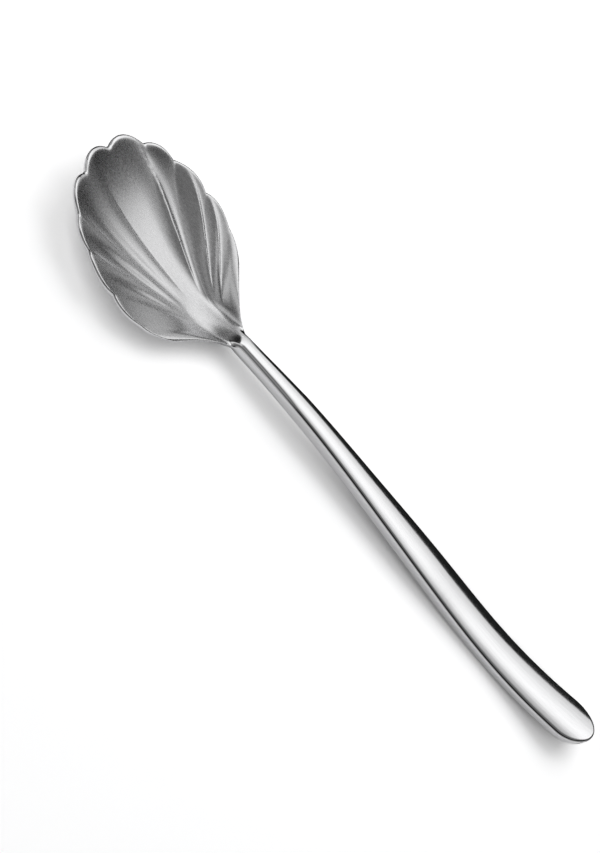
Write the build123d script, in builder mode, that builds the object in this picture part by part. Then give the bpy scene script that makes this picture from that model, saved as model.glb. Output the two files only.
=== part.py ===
import os
from math import cos, radians, sin

from build123d import *

os.makedirs("parts", exist_ok=True)

# Driving sizes, in millimetres
overall_length = 145
bowl_length = 45.2
bowl_half_width = 15.5
bowl_centre_from_tip = 24.2
rim_thickness = 0.9
tip_height = 7.65
shoulder_height = 4.3
floor_thickness = 1.0
floor_rise_at_shoulder = 1.6
neck_width = 3.6
neck_thickness = 3.2
neck_underside_height = 2.5
neck_crown = 0.3
neck_rounding = 0.5
neck_run = 11
waist_run = 3.5
flute_height = 0.7
scallop_depth = 1.7
lobe_lift = 0.55
handle_width = 8.8
handle_rest_thickness = 3
handle_end_thickness = 2.6
handle_arch_height = 3.1
handle_tip_height = 3.85
handle_crown = 0.84
handle_edge_radius = 0.6
end_rounding = 6
cut_overrun = 1

# Notches of the scalloped rim, in degrees from the tip as seen from the middle of the bowl.
# The last is the shoulder, where the rim runs into the neck.
notch_angles = (9.7, 30.8, 49.7, 78, 107, 135)

# Share of the full flute height, and of the full scallop depth, at each of those notches
flute_shares = (1, 1, 0.9, 0.7, 0.2, 0)
scallop_shares = (1, 0.45, 0.35, 0.55, 0.1, 0)

# Shares that place the stations along a blade, and the turns of its height
blade_shares = (0, 0.15, 0.3, 0.4, 0.5, 0.6, 0.7, 0.8, 0.9, 1)
neck_part_share = 0.5
fine_stations = 200
slope_step = 0.01
flute_start_share = 0.3
flute_full_share = 0.75

# Powers that bend the rim and the rise of the bowl towards it
rim_fullness = 2.4
tip_steepness = 4.6
shoulder_steepness = 2.5
flute_end_steepness = 8
side_steepness = 6

# Worked out from the driving sizes
tip_slope = tip_steepness * (tip_height - floor_thickness) / (2 * (bowl_length - neck_run))
rim_lean = rim_thickness * tip_slope / (1 + tip_slope ** 2) ** 0.5
tip_x = rim_lean - overall_length / 2
end_x = overall_length / 2
neck_x = tip_x + bowl_length
centre_x = tip_x + bowl_centre_from_tip
neck_top_height = neck_underside_height + neck_thickness
rim_reach = bowl_centre_from_tip - scallop_depth


def ease(share):
    share = min(max(share, 0), 1)
    return share * share * (3 - 2 * share)


# A blade is a line on the bowl from the neck to the rim. Blades are numbered by flute:
# whole numbers are the bottoms of the flutes, 0 the middle one, and halves are the ridges.
flute_count_each_side = len(notch_angles) - 1
last_blade = flute_count_each_side + 0.5


def at_blade(values, blade):
    # Each ridge has its own value, with an even change from one ridge to the next
    place = max(abs(blade) - 0.5, 0)
    first = min(int(place), len(values) - 2)
    return values[first] + (values[first + 1] - values[first]) * (place - first)


def blade_angle(blade):
    if abs(blade) < 0.5:
        return radians(notch_angles[0]) * blade / 0.5
    angle = radians(at_blade(notch_angles, blade))
    return angle if blade > 0 else -angle


def rim_point(blade, scallop):
    # The notches lie on an egg-shaped line, and the flutes reach out beyond it
    angle = blade_angle(blade)
    ahead = max(cos(angle), 0) / rim_reach
    aside = (abs(sin(angle)) if cos(angle) > 0 else 1) / bowl_half_width
    reach = (ahead ** rim_fullness + aside ** rim_fullness) ** (-1 / rim_fullness) + scallop
    return centre_x - reach * cos(angle), reach * sin(angle)


shoulder_x = rim_point(last_blade, 0)[0]


def smooth_point(blade, share, scallop=0):
    # Blades leave the neck side by side and spread out like a fan
    across = blade / last_blade
    rim_x, rim_y = rim_point(blade, scallop)
    bend_x = neck_x - neck_run + (neck_run - waist_run) * abs(across) ** 3
    x = (1 - share) ** 2 * neck_x + 2 * share * (1 - share) * bend_x + share ** 2 * rim_x
    y = (1 - share ** 2) * neck_width / 2 * across + share ** 2 * rim_y
    # They fall from the neck to the floor, and rise again to the rim
    back = (rim_x - tip_x) / (shoulder_x - tip_x)
    rim_height = tip_height + (shoulder_height - tip_height) * back
    floor = floor_thickness + floor_rise_at_shoulder * across ** 2
    neck_height = neck_top_height - neck_crown * across ** 2 - neck_rounding * across ** side_steepness
    steepness = tip_steepness + (shoulder_steepness - tip_steepness) * across ** 2
    fall = (floor - neck_height) * ease(share / neck_part_share)
    rise = (rim_height - floor) * share ** steepness
    return Vector(x, y, neck_height + fall + rise)


def inside_point(blade, share):
    # Ridges stand up between the flutes and run out at the notches, and lobes turn up
    strength = at_blade(flute_shares, blade)
    end = share ** flute_end_steepness
    if blade == round(blade):
        scallop = scallop_depth * at_blade(scallop_shares, blade)
        return smooth_point(blade, share, scallop) + Vector(0, 0, lobe_lift * strength * end)
    start = (share - flute_start_share) / (flute_full_share - flute_start_share)
    return smooth_point(blade, share) + Vector(0, 0, flute_height * strength * (ease(start) - end))


def outside_point(blade, share):
    # Square to the smooth bowl, and straight down at the neck and its sides. At the neck the
    # underside is flat in the middle and rounded at its sides.
    across = blade / last_blade
    bowl_part = ease(share / neck_part_share)
    neck_wall = neck_thickness - neck_crown * across ** 2 - 2 * neck_rounding * across ** side_steepness
    wall = neck_wall + (rim_thickness - neck_wall) * bowl_part
    leaning = bowl_part * (1 - across ** side_steepness)
    along = smooth_point(blade, share + slope_step) - smooth_point(blade, share)
    sideways = smooth_point(blade + slope_step, share) - smooth_point(blade - slope_step, share)
    square = along.cross(sideways)
    down = Vector(-square.X / square.Z * leaning, -square.Y / square.Z * leaning, -1).normalized()
    return inside_point(blade, share) + down * wall


# The spoon stands on the lowest place under the middle flute
settle = min(outside_point(0, station / fine_stations).Z for station in range(fine_stations))


def settled(point, blade, share):
    return point(blade, share) - Vector(0, 0, settle)


def blade_line(point, blade):
    return Edge.make_spline([settled(point, blade, share) for share in blade_shares])


def skin(point):
    # One smooth patch for each flute, from ridge to bottom to ridge
    patches = []
    for flute in range(-flute_count_each_side, flute_count_each_side + 1):
        lines = [Wire(blade_line(point, flute + side)) for side in (-0.5, 0, 0.5)]
        patches += Shell.make_loft(lines).faces()
    return patches


# Edges of a patch, in the order that the loft gives them
first_side, rim_edge, last_side, neck_edge = range(4)


def closing_faces(inside, outside):
    # The rim between the two skins, the two sides of the neck, and the end of the neck
    pairs = [(over, under, rim_edge) for over, under in zip(inside, outside)]
    pairs += [(inside[0], outside[0], first_side), (inside[-1], outside[-1], last_side)]
    faces = []
    for over, under, edge in pairs:
        faces.append(Face.make_surface_from_curves(over.edges()[edge], under.edges()[edge]))
    end = [patch.edges()[neck_edge] for patch in inside + outside]
    for blade in (-last_blade, last_blade):
        end.append(Edge.make_line(settled(inside_point, blade, 0), settled(outside_point, blade, 0)))
    return faces + [Face(Wire(end))]


inside_skin = skin(inside_point)
outside_skin = skin(outside_point)
bowl_shell = Shell(inside_skin + outside_skin + closing_faces(inside_skin, outside_skin))

with BuildPart() as bowl:
    add(Solid(bowl_shell))
bowl.part.label = "bowl"
export_step(bowl.part, "parts/bowl.step")

# The handle, in stations from the neck to its end: it arches up from the neck, comes down
# to rest on the table, and turns up at the end
neck_middle_height = neck_top_height - neck_thickness / 2 - settle
rest_middle_height = handle_rest_thickness / 2
handle_length = end_x - neck_x
station_shares = (0, 0.15, 0.35, 0.55, 0.74, 0.88, 1)
width_shares = (0.41, 0.49, 0.64, 0.825, 0.91, 0.97, 1)
arch_shares = (None, 1, 0.78, 0.355, 0)
tip_shares = (0.3, 1)
rest_station = arch_shares.index(0)


def middle_height(station):
    if station == 0:
        return neck_middle_height
    if station <= rest_station:
        return rest_middle_height + handle_arch_height * arch_shares[station]
    return rest_middle_height + handle_tip_height * tip_shares[station - rest_station - 1]


def at_station(neck_value, rest_value, end_value, station):
    # An even change from the neck to the resting place, and from there to the end
    place = station_shares[station]
    rest_place = station_shares[rest_station]
    if station <= rest_station:
        return neck_value + (rest_value - neck_value) * place / rest_place
    return rest_value + (end_value - rest_value) * (place - rest_place) / (1 - rest_place)


# The straight part of the outline ends where the rounding of the end begins
half_widths = [handle_width / 2 * share for share in width_shares]
half_widths[0] = neck_width / 2
sides = [(neck_x + handle_length * place, half) for place, half in zip(station_shares, half_widths)]
sides[-2:] = [(end_x - end_rounding, handle_width / 2)]

with BuildPart() as handle:
    for station, place in enumerate(station_shares):
        thickness = at_station(neck_thickness, handle_rest_thickness, handle_end_thickness, station)
        crown = at_station(neck_crown, handle_crown, handle_crown, station)
        crown_radius = (crown ** 2 + half_widths[station] ** 2) / (2 * crown)
        section_half = half_widths[station] + cut_overrun
        top = middle_height(station) + thickness / 2
        underside = middle_height(station) - thickness / 2
        side_top = top - crown_radius + (crown_radius ** 2 - section_half ** 2) ** 0.5
        with BuildSketch(Plane.YZ.offset(neck_x + handle_length * place)):
            with BuildLine():
                ThreePointArc((-section_half, side_top), (0, top), (section_half, side_top))
                Line((section_half, side_top), (section_half, underside))
                Line((section_half, underside), (-section_half, underside))
                Line((-section_half, underside), (-section_half, side_top))
            make_face()
    loft()
    with BuildSketch(Plane.XY.offset(-cut_overrun)):
        with BuildLine():
            leaving = Vector(*sides[1]) - Vector(*sides[0])
            for side in (1, -1):
                Spline(
                    *[(x, side * y) for x, y in sides],
                    tangents=((leaving.X, side * leaving.Y), (1, 0)),
                )
            EllipticalCenterArc((end_x - end_rounding, 0), end_rounding, handle_width / 2, -90, arc_size=180)
            Line((neck_x, neck_width / 2), (neck_x, -neck_width / 2))
        make_face()
    extrude(amount=tip_height + 2 * cut_overrun, mode=Mode.INTERSECT)
    long_edges = handle.edges().filter_by(lambda edge: edge.bounding_box().size.X > handle_edge_radius)
    fillet(long_edges, handle_edge_radius)
handle.part.label = "handle"
export_step(handle.part, "parts/handle.step")
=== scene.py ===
import bmesh
import bpy
import math
import numpy as np
from mathutils import Matrix, Vector


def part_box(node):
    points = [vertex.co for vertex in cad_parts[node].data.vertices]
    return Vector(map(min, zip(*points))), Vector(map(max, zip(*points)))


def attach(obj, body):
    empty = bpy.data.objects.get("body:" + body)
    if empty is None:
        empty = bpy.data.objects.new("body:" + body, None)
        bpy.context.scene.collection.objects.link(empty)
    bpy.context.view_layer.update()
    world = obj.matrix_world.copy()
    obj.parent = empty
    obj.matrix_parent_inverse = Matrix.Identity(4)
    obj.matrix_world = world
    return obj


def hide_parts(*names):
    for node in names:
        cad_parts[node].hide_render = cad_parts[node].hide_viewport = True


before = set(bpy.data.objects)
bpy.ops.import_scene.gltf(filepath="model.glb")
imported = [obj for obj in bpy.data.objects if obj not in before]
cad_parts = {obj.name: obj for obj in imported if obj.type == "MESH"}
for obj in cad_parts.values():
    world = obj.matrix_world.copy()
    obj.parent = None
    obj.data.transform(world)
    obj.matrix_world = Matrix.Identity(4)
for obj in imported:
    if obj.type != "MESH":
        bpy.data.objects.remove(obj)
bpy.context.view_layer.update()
print("frame loaded")

mm = 0.001
handleLow, handleHigh = (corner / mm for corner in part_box("handle"))

# the neck's section, which the bowl and the handle share, in millimetres
neck = {
    "place": handleLow.x,
    "middleHeight": 3.77,
    "halfWidth": 1.8,
    "thickness": 3.2,
    "crown": 0.3,
    "sideDrop": 0.5,
    "sideSteepness": 6,
    "edgePower": 8,
}


class Field:
    # a number that node trees can add, multiply and so on

    def __init__(self, tree, socket):
        self.tree = tree
        self.socket = socket

    def mathNode(self, operation, *others):
        node = self.tree.nodes.new("ShaderNodeMath")
        node.operation = operation
        for slot, value in enumerate((self,) + others):
            if isinstance(value, Field):
                self.tree.links.new(value.socket, node.inputs[slot])
            else:
                node.inputs[slot].default_value = value
        return Field(self.tree, node.outputs[0])

    def __add__(self, other):
        return self.mathNode("ADD", other)

    def __radd__(self, other):
        return self.mathNode("ADD", other)

    def __sub__(self, other):
        return self.mathNode("SUBTRACT", other)

    def __rsub__(self, other):
        return self.mathNode("MULTIPLY", -1.0) + other

    def __mul__(self, other):
        return self.mathNode("MULTIPLY", other)

    def __rmul__(self, other):
        return self.mathNode("MULTIPLY", other)

    def __truediv__(self, other):
        return self.mathNode("DIVIDE", other)

    def __pow__(self, other):
        return self.mathNode("POWER", other)


def sine(value):
    return value.mathNode("SINE")


def cosine(value):
    return value.mathNode("COSINE")


def root(value):
    return value.mathNode("SQRT")


def sizeOf(value):
    return value.mathNode("ABSOLUTE")


def signOf(value):
    return value.mathNode("SIGN")


def atLeast(value, low):
    return value.mathNode("MAXIMUM", low)


def atMost(value, high):
    return value.mathNode("MINIMUM", high)


def ease(value):
    share = atLeast(atMost(value, 1.0), 0.0)
    return share * share * (3.0 - 2.0 * share)


def fromTable(place, values):
    # even changes from one value to the next, as place goes 0, 1, 2 ...
    result = place * 0.0 + values[0]
    slope = 0.0
    for step, (low, high) in enumerate(zip(values, values[1:])):
        result = result + atLeast(place - float(step), 0.0) * (high - low - slope)
        slope = high - low
    return result


def creaseCurve(tree, place, creases):
    # height of the creases against the blade, sharp where the table says so; the curve runs
    # from 0 to 1 both ways, so 0 lies at 0.5 in it
    node = tree.nodes.new("ShaderNodeFloatCurve")
    mapping = node.mapping
    mapping.use_clip = False
    curve = mapping.curves[0]
    last = creases[-1][0]
    while len(curve.points) < len(creases):
        curve.points.new(0.5, 0.5)
    for point, (blade, height, sharp) in zip(curve.points, creases):
        point.location = (blade / last * 0.5 + 0.5, height * 0.5 + 0.5)
        point.handle_type = "VECTOR" if sharp else "AUTO"
    mapping.update()
    tree.links.new(place.socket, node.inputs["Value"])
    return (Field(tree, node.outputs[0]) - 0.5) * 2.0


def vectorOf(tree, x, y, z):
    node = tree.nodes.new("ShaderNodeCombineXYZ")
    for value, target in zip((x, y, z), node.inputs):
        if isinstance(value, Field):
            tree.links.new(value.socket, target)
        else:
            target.default_value = value
    return node.outputs[0]


def partsOf(tree, socket):
    node = tree.nodes.new("ShaderNodeSeparateXYZ")
    tree.links.new(socket, node.inputs[0])
    return [Field(tree, output) for output in node.outputs]


def newMaterial(name):
    material = bpy.data.materials.new(name)
    material.use_nodes = True
    tree = material.node_tree
    return material, tree, tree.nodes["Principled BSDF"]


def objectPlace(tree):
    # x, y and z of the spot, in metres
    return partsOf(tree, tree.nodes.new("ShaderNodeTexCoord").outputs["Object"])


def grain(tree, scale, stretch, detail):
    # noise in object space; a low stretch draws it out along that axis
    place = tree.nodes.new("ShaderNodeTexCoord")
    squeeze = tree.nodes.new("ShaderNodeMapping")
    squeeze.inputs["Scale"].default_value = stretch
    noise = tree.nodes.new("ShaderNodeTexNoise")
    noise.inputs["Scale"].default_value = scale
    noise.inputs["Detail"].default_value = detail
    tree.links.new(place.outputs["Object"], squeeze.inputs["Vector"])
    tree.links.new(squeeze.outputs["Vector"], noise.inputs["Vector"])
    return Field(tree, noise.outputs[0])


def greyOf(tree, value, tint=(1.0, 1.0, 1.01)):
    node = tree.nodes.new("ShaderNodeCombineColor")
    for slot, part in enumerate(tint):
        tree.links.new((value * part).socket, node.inputs[slot])
    return node.outputs[0]


def newSteel(name, greyAndRoughness):
    # greyAndRoughness(tree) gives the two, the height of the relief and how deep it is in metres
    material, tree, shader = newMaterial(name)
    shader.inputs["Metallic"].default_value = 1
    grey, roughness, relief, depth = greyAndRoughness(tree)
    bump = tree.nodes.new("ShaderNodeBump")
    bump.inputs["Distance"].default_value = depth
    tree.links.new(relief.socket, bump.inputs["Height"])
    tree.links.new(greyOf(tree, grey), shader.inputs["Base Color"])
    tree.links.new(roughness.socket, shader.inputs["Roughness"])
    tree.links.new(bump.outputs[0], shader.inputs["Normal"])
    return material


# the bowl's finish: satin, with its rim and the neck polished
satin = {
    "grey": 0.66,
    "polishedGain": 0.1,
    "roughness": 0.27,
    "polishedRoughness": 0.1,
    "rimStart": 0.991,
    "polishStart": -30.5,  # where the neck turns bright, in millimetres
    "polishSpread": 1.2,
    # scale of the noise, how it is drawn out along x, y and z, and its detail
    "fine": (3200, (0.5, 1.0, 1.0), 3.0),
    "patchy": (160, (1.0, 1.0, 1.0), 2.0),
    "fineRoughness": 0.1,
    "patchyRoughness": 0.03,
    "fineGrey": 0.45,
    "grainDepth": 0.0000015,
}


def satinSteel(tree):
    fine = grain(tree, *satin["fine"])
    patchy = grain(tree, *satin["patchy"])
    share = tree.nodes.new("ShaderNodeAttribute")
    share.attribute_name = "share"  # 0 at the neck, 1 at the rim
    share = Field(tree, share.outputs["Fac"])
    alongX = objectPlace(tree)[0] / mm + (patchy - 0.5) * satin["polishSpread"] * 2.0
    rim = ease((share - satin["rimStart"]) / (1.0 - satin["rimStart"]) * 2.0)
    polish = ease((alongX - satin["polishStart"]) / satin["polishSpread"])
    polish = atLeast(polish, rim)
    roughness = (fine - 0.5) * satin["fineRoughness"] + (patchy - 0.5) * satin["patchyRoughness"]
    roughness = roughness + satin["roughness"]
    roughness = roughness + (satin["polishedRoughness"] - roughness) * polish
    grey = satin["grey"] * (1.0 + (fine - 0.5) * satin["fineGrey"] * (1.0 - polish))
    grey = grey + satin["polishedGain"] * polish
    return grey, roughness, fine * (1.0 - polish), satin["grainDepth"]


# the handle's finish: polished, with faint marks along it and feathery ones across its near side
polished = {
    "grey": 0.78,
    "roughness": 0.11,
    "brushed": (2600, (0.03, 1.0, 1.0), 3.0),
    "brushedRoughness": 0.08,
    "brushedGrey": 0.1,
    "feathers": (700, (1.0, 0.12, 0.12), 4.0),
    "featherDepth": 0.000006,
    "featherEdge": 0.5,  # across the handle, in millimetres
    "featherFade": 3.0,
}


def polishedSteel(tree):
    brushed = grain(tree, *polished["brushed"])
    roughness = polished["roughness"] + (brushed - 0.5) * polished["brushedRoughness"]
    grey = polished["grey"] + (brushed - 0.5) * polished["brushedGrey"]
    feathers = grain(tree, *polished["feathers"])
    nearSide = ease((objectPlace(tree)[1] / mm - polished["featherEdge"]) / -polished["featherFade"])
    return grey, roughness, feathers * nearSide, polished["featherDepth"]


bowlSizes = {
    "Bowl Length": 45.2,
    "Half Width": 15.5,
    "Middle From Tip": 24.2,
    "Tip Height": 7.65,
    "Shoulder Height": 4.3,
    "Floor Height": 1.0,
    "Floor Rise": 1.6,
    "Flute Height": 0.7,
    "Scallop Depth": 1.7,
    "Lobe Lift": 0.55,
    "Wall": 0.9,
    "Neck Run": 11.0,
    "Waist Run": 3.5,
    "Settle": 0.205,
}
bowlShape = {
    "notchAngles": (9.7, 30.8, 49.7, 78, 107, 135),
    "fluteShares": (1, 1, 0.9, 0.7, 0.2, 0),
    "scallopShares": (1, 0.45, 0.35, 0.55, 0.1, 0),
    "fullness": 2.4,
    "tipSteepness": 4.6,
    "shoulderSteepness": 2.5,
    "lobeEnd": 8,
    "fluteEnd": 14,
    "fluteStart": 0.4,
    "fluteFull": 0.72,
    "floorHaste": 1.2,
    "neckPart": 0.42,
    "neckHaste": 0.82,
    "scallopRun": 5.0,
    "sideLine": 2.2,
    "sideLineRise": 6.0,
    "sideRounding": 50.0,
    "rimRounding": 260.0,
    "leastUpright": 0.2,
    "weld": 2e-7,  # in metres
    # blade number, height as a share of the flute height, and whether the crease is sharp there
    "creases": (
        (-5.5, 0.0, False), (-5.1, 0.3, False), (-4.5, 0.0, False), (-3.6, 0.05, False), (-3.1, 0.0, False),
        (-2.5, 0.5, False), (-2.2, 0.02, False), (-1.5, 0.6, False), (-1.2, 0.05, False), (-0.5, 0.55, False),
        (0.07, -0.05, True), (0.65, 0.35, False), (1.25, 1.1, True), (1.75, 0.2, False), (2.3, 0.4, False),
        (2.74, 0.8, True), (3.1, 0.3, False), (3.5, 0.65, True), (4.0, 0.1, False), (4.5, 0.3, False),
        (5.5, 0.4, False),
    ),
    # how far the creases drift sideways from the rim inwards, at blades -1 to 5
    "creaseDrift": (0, -0.25, 0.3, 0.65, 0.75, 0.6, 0.4),
    "driftPower": 10,
    "columns": 261,
    "rows": 185,
}


def fromNeck(share):
    return ease((share / bowlShape["neckPart"]) ** bowlShape["neckHaste"])


def bowlPlace(tree, size, across, share):
    # the inside of the bowl: across is -1 to 1 over the flutes, share 0 at the neck, 1 at the rim
    shape = bowlShape
    lastBlade = len(shape["notchAngles"]) - 0.5
    blade = across * lastBlade
    bladeSize = sizeOf(blade)
    place = atLeast(bladeSize - 0.5, 0.0)
    inMiddle = atMost(bladeSize * 2.0, 1.0)
    angle = fromTable(place, [math.radians(a) for a in shape["notchAngles"]]) * inMiddle * signOf(blade)
    strength = fromTable(place, shape["fluteShares"])
    toRidge = sizeOf(blade - blade.mathNode("ROUND")) * 2.0
    drift = fromTable(atLeast(blade + 1.0, 0.0), shape["creaseDrift"]) * (1.0 - share ** shape["driftPower"])
    creases = creaseCurve(tree, (blade - drift) / lastBlade * 0.5 + 0.5, shape["creases"])

    # plan of the rim, an egg with the flutes reaching out beyond it
    scallop = size["Scallop Depth"] * fromTable(place, shape["scallopShares"]) * (1.0 - toRidge * toRidge)
    forward = cosine(angle)
    ahead = atLeast(forward, 0.0) / (size["Middle From Tip"] - size["Scallop Depth"])
    behind = atLeast(signOf(forward) * -1.0, 0.0)
    aside = atLeast(sizeOf(sine(angle)), behind) / size["Half Width"]
    egg = (ahead ** shape["fullness"] + aside ** shape["fullness"]) ** (-1 / shape["fullness"])
    rimX = size["Middle From Tip"] - egg * forward
    rimY = egg * sine(angle)
    scallop = scallop * share ** shape["scallopRun"]

    # blades leave the neck side by side and spread like a fan
    rest = 1.0 - share
    bendX = size["Bowl Length"] - size["Neck Run"]
    bendX = bendX + (size["Neck Run"] - size["Waist Run"]) * sizeOf(across) ** 3.0
    x = rest * rest * size["Bowl Length"] + share * rest * 2.0 * bendX + share * share * rimX
    x = x - scallop * forward
    y = (1.0 - share * share) * neck["halfWidth"] * across + share * share * rimY + scallop * sine(angle)

    # heights
    shoulderX = size["Middle From Tip"] - size["Half Width"] * math.cos(math.radians(shape["notchAngles"][-1]))
    back = (size["Middle From Tip"] - (egg + scallop) * forward) / shoulderX
    rimHeight = size["Tip Height"] + (size["Shoulder Height"] - size["Tip Height"]) * back
    across2 = across * across
    floorHeight = size["Floor Height"] + size["Floor Rise"] * across2 * ease(share * shape["floorHaste"])
    neckTop = size["Settle"] + neck["middleHeight"] + neck["thickness"] / 2
    neckHeight = neckTop - across2 * neck["crown"] - sizeOf(across) ** neck["sideSteepness"] * neck["sideDrop"]
    steepness = across2 * (shape["shoulderSteepness"] - shape["tipSteepness"]) + shape["tipSteepness"]
    z = neckHeight + (floorHeight - neckHeight) * fromNeck(share)
    z = z + (rimHeight - floorHeight) * share ** steepness
    beside = sizeOf(across) ** (share * shape["sideLineRise"] + shape["sideLine"])
    z = z + (neckHeight + (rimHeight - neckHeight) * ease(share) - z) * beside
    start = (share - shape["fluteStart"]) / (shape["fluteFull"] - shape["fluteStart"])
    z = z + size["Flute Height"] * (ease(start) - share ** shape["fluteEnd"]) * creases
    z = z + size["Lobe Lift"] * strength * share ** shape["lobeEnd"] * (1.0 - toRidge * toRidge)
    return x, y, z - size["Settle"]


def bowlWall(size, across, share):
    # half the wall's thickness, and the share of it that is left towards the rounded edges
    across2 = across * across
    side = sizeOf(across) ** neck["sideSteepness"] * neck["sideDrop"]
    neckWall = neck["thickness"] - across2 * neck["crown"] - side * 2.0
    wall = neckWall + (size["Wall"] - neckWall) * fromNeck(share)
    edgePower = share * share * bowlShape["sideRounding"] + neck["edgePower"]
    left = root(atLeast(1.0 - sizeOf(across) ** edgePower, 0.0))
    left = left * root(atLeast(1.0 - share ** bowlShape["rimRounding"], 0.0))
    return wall * 0.5, left


def bowlTree(material):
    tree = bpy.data.node_groups.new("flutedBowl", "GeometryNodeTree")
    tree.interface.new_socket("Geometry", in_out="OUTPUT", socket_type="NodeSocketGeometry")
    for name, value in bowlSizes.items():
        socket = tree.interface.new_socket(name, in_out="INPUT", socket_type="NodeSocketFloat")
        socket.default_value = value
    inputs = tree.nodes.new("NodeGroupInput")
    size = {name: Field(tree, inputs.outputs[name]) for name in bowlSizes}

    def sheet(rows, shareOf, acrossRows):
        # a flat grid, with where each point belongs on the bowl kept as attributes
        grid = tree.nodes.new("GeometryNodeMeshGrid")
        grid.inputs["Vertices X"].default_value = bowlShape["columns"]
        grid.inputs["Vertices Y"].default_value = rows
        sideways, upright, _ = partsOf(tree, tree.nodes.new("GeometryNodeInputPosition").outputs[0])
        across = sine(sideways * math.pi)
        geometry = grid.outputs["Mesh"]
        for name, value in (("across", across), ("share", shareOf(upright)), ("skin", acrossRows(upright))):
            store = tree.nodes.new("GeometryNodeStoreNamedAttribute")
            store.data_type = "FLOAT"
            store.domain = "POINT"
            store.inputs["Name"].default_value = name
            tree.links.new(geometry, store.inputs["Geometry"])
            tree.links.new(value.socket, store.inputs["Value"])
            geometry = store.outputs["Geometry"]
        return geometry

    def kept(name):
        node = tree.nodes.new("GeometryNodeInputNamedAttribute")
        node.data_type = "FLOAT"
        node.inputs["Name"].default_value = name
        return Field(tree, node.outputs["Attribute"])

    across, share, skin = kept("across"), kept("share"), kept("skin")

    def placed(geometry):
        node = tree.nodes.new("GeometryNodeSetPosition")
        x, y, z = bowlPlace(tree, size, across, share)
        x = x + (neck["place"] - bowlSizes["Bowl Length"])
        tree.links.new(geometry, node.inputs["Geometry"])
        tree.links.new(vectorOf(tree, x * mm, y * mm, z * mm), node.inputs["Position"])
        return node.outputs[0]

    def offset(geometry, side):
        # down from the inside by half the wall, less or more the other half
        half, left = bowlWall(size, across, share)
        leaning = fromNeck(share) * (1.0 - sizeOf(across) ** neck["sideSteepness"])
        x, y, z = partsOf(tree, tree.nodes.new("GeometryNodeInputNormal").outputs[0])
        lean = leaning * -1.0 / atLeast(sizeOf(z), bowlShape["leastUpright"])
        down = tree.nodes.new("ShaderNodeVectorMath")
        down.operation = "NORMALIZE"
        tree.links.new(vectorOf(tree, x * lean, y * lean, -1.0), down.inputs[0])
        move = tree.nodes.new("ShaderNodeVectorMath")
        move.operation = "SCALE"
        tree.links.new(down.outputs[0], move.inputs[0])
        amount = half * (1.0 - left * side) * mm
        tree.links.new(amount.socket, move.inputs["Scale"])
        node = tree.nodes.new("GeometryNodeSetPosition")
        tree.links.new(geometry, node.inputs["Geometry"])
        tree.links.new(move.outputs[0], node.inputs["Offset"])
        return node.outputs[0]

    inside = placed(sheet(bowlShape["rows"], lambda up: sine((up + 0.5) * (math.pi / 2)), lambda up: up * 0.0 + 1.0))
    upper = offset(inside, 1.0)
    lower = tree.nodes.new("GeometryNodeFlipFaces")
    tree.links.new(offset(inside, -1.0), lower.inputs[0])
    end = placed(sheet(2, lambda up: up * 0.0, lambda up: up * -2.0))
    endFlat = offset(end, skin)

    join = tree.nodes.new("GeometryNodeJoinGeometry")
    for part in (upper, lower.outputs[0], endFlat):
        tree.links.new(part, join.inputs[0])
    merge = tree.nodes.new("GeometryNodeMergeByDistance")
    merge.inputs["Distance"].default_value = bowlShape["weld"]
    smooth = tree.nodes.new("GeometryNodeSetShadeSmooth")
    realize = tree.nodes.new("GeometryNodeRealizeInstances")
    setMaterial = tree.nodes.new("GeometryNodeSetMaterial")
    setMaterial.inputs["Material"].default_value = material
    output = tree.nodes.new("NodeGroupOutput")
    chain = [join, merge, smooth, realize, setMaterial, output]
    for before, after in zip(chain, chain[1:]):
        tree.links.new(before.outputs[0], after.inputs[0])
    return tree


def makeBowl(material):
    mesh = bpy.data.meshes.new("bowlSkin")
    piece = bpy.data.objects.new("flutedBowl", mesh)
    bpy.context.scene.collection.objects.link(piece)
    modifier = piece.modifiers.new("flutedBowl", "NODES")
    modifier.node_group = bowlTree(material)
    for item in modifier.node_group.interface.items_tree:
        if item.in_out == "INPUT":
            modifier[item.identifier] = bowlSizes[item.name]
    evaluated = piece.evaluated_get(bpy.context.evaluated_depsgraph_get())
    plain = bpy.data.meshes.new_from_object(evaluated)
    piece.modifiers.remove(modifier)
    piece.data = plain
    return piece


handleSizes = {
    "halfWidth": 4.4,
    "restThickness": 3.0,
    "endThickness": 2.6,
    "crown": 0.64,
    "edge": 0.6,
    "endRounding": 6.0,
    "places": (0, 0.15, 0.35, 0.55, 0.74, 0.88, 1),
    "widths": (0.41, 0.49, 0.64, 0.825, 0.91, 0.97, 1),
    "heights": (3.77, 4.6, 3.918, 2.6, 1.502, 2.655, 5.31),
    "restPlace": 0.74,
    "neckBlend": 0.15,
    "rows": 420,
    "columns": 61,
}


def smoothCurve(places, values, wanted):
    # a natural cubic through the given places
    places, values = np.array(places, float), np.array(values, float)
    gaps = np.diff(places)
    slopes = np.diff(values) / gaps
    system = np.eye(len(places))
    bends = np.zeros(len(places))
    for row in range(1, len(places) - 1):
        system[row, row - 1:row + 2] = gaps[row - 1], 2 * (gaps[row - 1] + gaps[row]), gaps[row]
        bends[row] = 6 * (slopes[row] - slopes[row - 1])
    curve = np.linalg.solve(system, bends)
    at = np.clip(np.searchsorted(places, wanted) - 1, 0, len(gaps) - 1)
    left, right, gap = wanted - places[at], places[at + 1] - wanted, gaps[at]
    return (
        curve[at] * right ** 3 / (6 * gap) + curve[at + 1] * left ** 3 / (6 * gap)
        + (values[at] / gap - curve[at] * gap / 6) * right
        + (values[at + 1] / gap - curve[at + 1] * gap / 6) * left
    )


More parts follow.
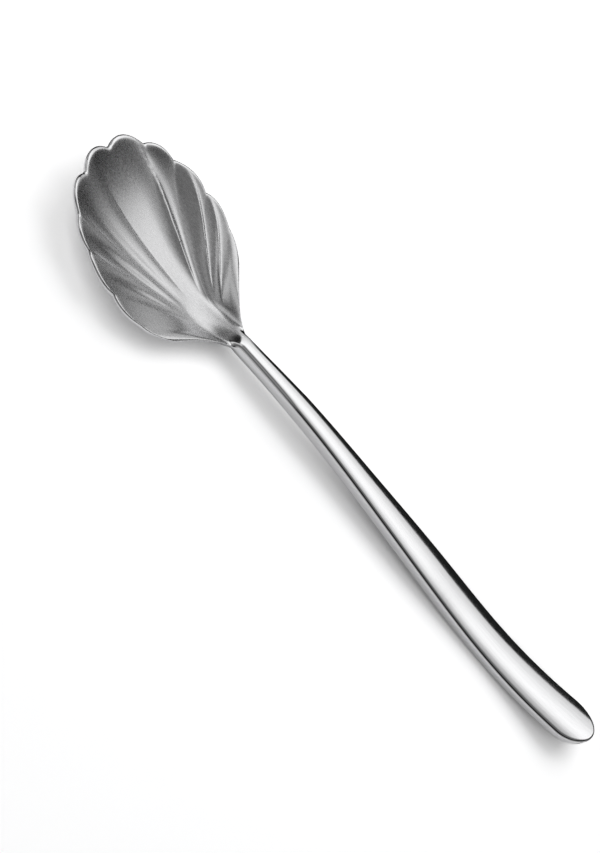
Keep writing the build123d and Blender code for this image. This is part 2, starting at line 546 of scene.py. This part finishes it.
def makeHandle(material):
    sizes = handleSizes
    length = handleHigh.x - neck["place"]
    step = np.linspace(0, 1, sizes["rows"])
    place = np.sin(step * math.pi / 2)  # close rows at the end
    x = neck["place"] + place * length
    middle = smoothCurve(sizes["places"], sizes["heights"], place)
    bodyPlaces = list(sizes["places"][:-2]) + [1 - sizes["endRounding"] / length]
    bodyWidths = list(sizes["widths"][:-2]) + [1]
    bodyWidths[0] = neck["halfWidth"] / sizes["halfWidth"]
    half = smoothCurve(bodyPlaces, bodyWidths, np.minimum(place, bodyPlaces[-1])) * sizes["halfWidth"]
    along = np.clip((place - bodyPlaces[-1]) / (1 - bodyPlaces[-1]), 0, 1)
    body = half
    half = body * np.sqrt(1 - along ** 2)
    rest = sizes["restPlace"]
    thickness = np.interp(place, (0, rest, 1), (neck["thickness"], sizes["restThickness"], sizes["endThickness"]))
    crown = np.interp(place, (0, rest, 1), (neck["crown"], sizes["crown"], sizes["crown"]))
    sideDrop = np.interp(place, (0, sizes["neckBlend"]), (neck["sideDrop"], 0))
    across = np.sin(np.linspace(-1, 1, sizes["columns"]) * math.pi / 2)
    atNeck = np.sqrt(1 - np.abs(across) ** neck["edgePower"])
    points = []
    for row in range(sizes["rows"]):
        y = half[row] * across
        dome = crown[row] * (y / body[row]) ** 2
        drop = sideDrop[row] * np.abs(across) ** neck["sideSteepness"]
        wall = thickness[row] - dome - 2 * drop
        out = np.hypot(along[row], y / body[row])  # 1 on the outline
        change = np.hypot(along[row] / sizes["endRounding"], y / body[row] ** 2)
        fromEdge = (1 - out) * np.maximum(out, 1e-6) / np.maximum(change, 1e-9) / sizes["edge"]
        rounding = sizes["edge"] * (1 - np.sqrt(1 - (1 - np.clip(fromEdge, 0, 1)) ** 2))
        blend = min(place[row] / sizes["neckBlend"], 1)
        left = (1 - blend) * atNeck + blend * np.maximum(1 - rounding / (wall / 2), 0)
        centre = middle[row] + thickness[row] / 2 - dome - drop - wall / 2
        upper = list(zip([x[row]] * len(y), y, centre + wall / 2 * left))
        lower = list(zip([x[row]] * len(y), y, centre - wall / 2 * left))
        points.append(upper + lower[::-1])
    ring = len(points[0])
    points = np.array(points).reshape(-1, 3) * mm
    faces = []
    for row in range(sizes["rows"] - 1):
        for spot in range(ring):
            after = (spot + 1) % ring
            faces.append((row * ring + spot, row * ring + after, (row + 1) * ring + after, (row + 1) * ring + spot))
    faces.append(tuple(range(ring))[::-1])
    mesh = bpy.data.meshes.new("domedHandle")
    mesh.from_pydata(points.tolist(), [], faces)
    mesh.materials.append(material)
    piece = bpy.data.objects.new("domedHandle", mesh)
    bpy.context.scene.collection.objects.link(piece)
    return piece


finish = {
    "weld": 3e-7,  # in metres
    "sliver": 3e-8,
    "sharpFrom": 50,  # degrees between two faces
}


def finishMesh(piece):
    work = bmesh.new()
    work.from_mesh(piece.data)
    bmesh.ops.remove_doubles(work, verts=work.verts, dist=finish["weld"])
    bmesh.ops.dissolve_degenerate(work, edges=work.edges, dist=finish["sliver"])
    bmesh.ops.recalc_face_normals(work, faces=work.faces)
    for face in work.faces:
        face.smooth = True
    openEdges = [edge for edge in work.edges if not edge.is_manifold]
    work.to_mesh(piece.data)
    work.free()
    piece.data.set_sharp_from_angle(angle=math.radians(finish["sharpFrom"]))
    print(piece.name, len(piece.data.polygons), "faces,", len(openEdges), "open edges")


bowl = makeBowl(newSteel("satinSteel", satinSteel))
finishMesh(bowl)
handle = makeHandle(newSteel("polishedSteel", polishedSteel))
finishMesh(handle)
for piece, node, slot in ((bowl, "bowl", "satin_steel"), (handle, "handle", "polished_steel")):
    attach(piece, "root")
    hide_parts(node)
print("pieces in place")

studio = {
    "floorGrey": 0.9,
    "floorHalf": 1.5,
    "floorGlow": 0.6,
    # glow of the near half of the floor to reflection rays; to them the far half is painted black
    "mirroredFloor": 0.4,
    "nearHalfSharpness": 200,
    # how far the painted shadow on the floor's glow reaches, and how deep it is
    "shadowReach": 0.005,
    "shadowDepth": 1.0,
    "worldGrey": 0.012,
    "paleWorld": 0.45,
    "paleFrom": {"front": 0.1, "above": 0.42, "tip": 0.6, "end": 0.88},
    "paleFade": {"front": 0.3, "above": 0.2, "tip": 0.2, "end": 0.1},
    "softboxAim": (-0.02, 0.0, 0.0),
    "softboxDistance": 0.6,
    "softboxWidth": 0.7,
    # one big softbox in strips, fading towards the top: middle elevation, how many degrees, radiance
    "softboxStrips": (
        (40.5, 7, 0.85), (47, 6, 0.95), (53, 6, 1.1), (59, 6, 1.2), (65, 6, 1.25),
        (70.5, 5, 1.15), (75, 4, 0.9), (79, 4, 0.6), (83, 4, 0.4), (90, 10, 0.17), (102, 14, 0.14), (116, 14, 0.14),
    ),
    # reflectors close to the bowl, out of the handle's sight: place, aim, width, height, radiance
    "reflectors": (
        ((-0.05, 0.085, 0.045), (-0.05, 0.0, 0.004), 0.07, 0.04, 0.6),
        ((-0.055, -0.17, 0.22), (-0.05, 0.01, 0.004), 0.16, 0.26, 0.16),
        ((-0.18, -0.06, 0.25), (-0.034, 0.005, 0.003), 0.11, 0.17, 0.65),
    ),
    # a lamp that metal doesn't mirror, for the shadow on the floor: azimuth, elevation, distance, size, radiance
    "shadowLamp": (90, 50, 0.6, 0.55, 1.3),
}


def directionTo(azimuth, elevation):
    turn, rise = math.radians(azimuth), math.radians(elevation)
    return Vector((math.cos(turn) * math.cos(rise), math.sin(turn) * math.cos(rise), math.sin(rise)))


def levelAxes(backward):
    right = Vector((0, 0, 1)).cross(backward).normalized()
    return Matrix((right, backward.cross(right), backward)).transposed().to_4x4()


def makeFloor():
    half = studio["floorHalf"]
    mesh = bpy.data.meshes.new("floor")
    mesh.from_pydata([(-half, -half, 0), (half, -half, 0), (half, half, 0), (-half, half, 0)], [], [(0, 1, 2, 3)])
    floor = bpy.data.objects.new("floor", mesh)
    bpy.context.scene.collection.objects.link(floor)
    material, tree, shader = newMaterial("paleFloor")
    shader.inputs["Roughness"].default_value = 0.9
    shader.inputs["Specular IOR Level"].default_value = 0.0
    rays = tree.nodes.new("ShaderNodeLightPath")
    seen = Field(tree, rays.outputs["Is Camera Ray"])
    mirrored = Field(tree, rays.outputs["Is Glossy Ray"])
    # the half of the floor before the spoon; to reflection rays only this half glows, and the far half is painted
    # black, which paints dark reflections into the metal where it mirrors the far floor
    near = ease(objectPlace(tree)[1] * -studio["nearHalfSharpness"] + 0.5)
    seen = (seen + mirrored * near * studio["mirroredFloor"]) * studio["floorGlow"]
    colour = greyOf(tree, (1.0 - mirrored * (1.0 - near)) * studio["floorGrey"])
    tree.links.new(colour, shader.inputs["Base Color"])
    # painted shadow: ambient occlusion darkens the floor's glow near the spoon, both to the camera and in
    # reflections; the shadow lamp casts the real shadow besides
    paintedShade = tree.nodes.new("ShaderNodeAmbientOcclusion")
    paintedShade.samples = 16
    paintedShade.inputs["Distance"].default_value = studio["shadowReach"]
    seen = seen * Field(tree, paintedShade.outputs["AO"]) ** studio["shadowDepth"]
    shader.inputs["Emission Color"].default_value = (1, 1, 1, 1)
    tree.links.new(seen.socket, shader.inputs["Emission Strength"])
    mesh.materials.append(material)
    return floor


def makeSoftbox(place, aim, width, height, radiance):
    lamp = bpy.data.lights.new("softbox", "AREA")
    lamp.shape = "RECTANGLE"
    lamp.size, lamp.size_y = width, height
    lamp.energy = radiance * math.pi * width * height
    softbox = bpy.data.objects.new("softbox", lamp)
    bpy.context.scene.collection.objects.link(softbox)
    backward = (Vector(place) - Vector(aim)).normalized()
    softbox.matrix_world = Matrix.Translation(place) @ levelAxes(backward)
    softbox.visible_camera = False
    return softbox


def makeLights():
    aim, distance = Vector(studio["softboxAim"]), studio["softboxDistance"]
    for elevation, degrees, radiance in studio["softboxStrips"]:
        height = 2 * distance * math.tan(math.radians(degrees / 2))
        makeSoftbox(aim + directionTo(90, elevation) * distance, aim, studio["softboxWidth"], height, radiance)
    for reflector in studio["reflectors"]:
        makeSoftbox(*reflector)
    azimuth, elevation, distance, size, radiance = studio["shadowLamp"]
    lamp = makeSoftbox(directionTo(azimuth, elevation) * distance, (0, 0, 0), size, size, radiance)
    lamp.visible_glossy = False


def makeWorld():
    # white to the camera, dim to the floor, and to metal dark only in the part that makes its black bands
    world = bpy.data.worlds.new("studio")
    world.use_nodes = True
    tree = world.node_tree
    rays = tree.nodes.new("ShaderNodeLightPath")
    seen = Field(tree, rays.outputs["Is Camera Ray"])
    mirrored = Field(tree, rays.outputs["Is Glossy Ray"])
    x, y, z = partsOf(tree, tree.nodes.new("ShaderNodeTexCoord").outputs["Generated"])
    start, fade, dim = studio["paleFrom"], studio["paleFade"], studio["worldGrey"]
    pale = ease((y + start["front"]) / -fade["front"]) * ease((z - start["above"]) / -fade["above"])
    pale = atLeast(pale, ease((x + start["tip"]) / -fade["tip"]))
    pale = atLeast(pale, ease((x - start["end"]) / fade["end"]))
    strength = seen * (1.0 - dim) + dim + mirrored * pale * studio["paleWorld"]
    tree.links.new(strength.socket, tree.nodes["Background"].inputs["Color"])
    bpy.context.scene.world = world


makeFloor()
makeWorld()
makeLights()
print("studio lit")

view = {
    "place": (-161.34, -392.02, 507.41),
    "roll": 65.78,
    "azimuth": -111.336,
    "elevation": 50.276,
    "lens": 152.4,
    "sensor": 36,
}


def makeCamera():
    lens = bpy.data.cameras.new("camera")
    lens.lens = view["lens"]
    lens.sensor_width = view["sensor"]
    lens.clip_start = 0.01
    camera = bpy.data.objects.new("camera", lens)
    bpy.context.scene.collection.objects.link(camera)
    backward = directionTo(view["azimuth"], view["elevation"])
    roll = Matrix.Rotation(math.radians(view["roll"]), 4, "Z")
    camera.matrix_world = Matrix.Translation(Vector(view["place"]) * mm) @ levelAxes(backward) @ roll
    bpy.context.scene.camera = camera


makeCamera()
bpy.context.scene.view_settings.view_transform = "Standard"
print("camera in place")
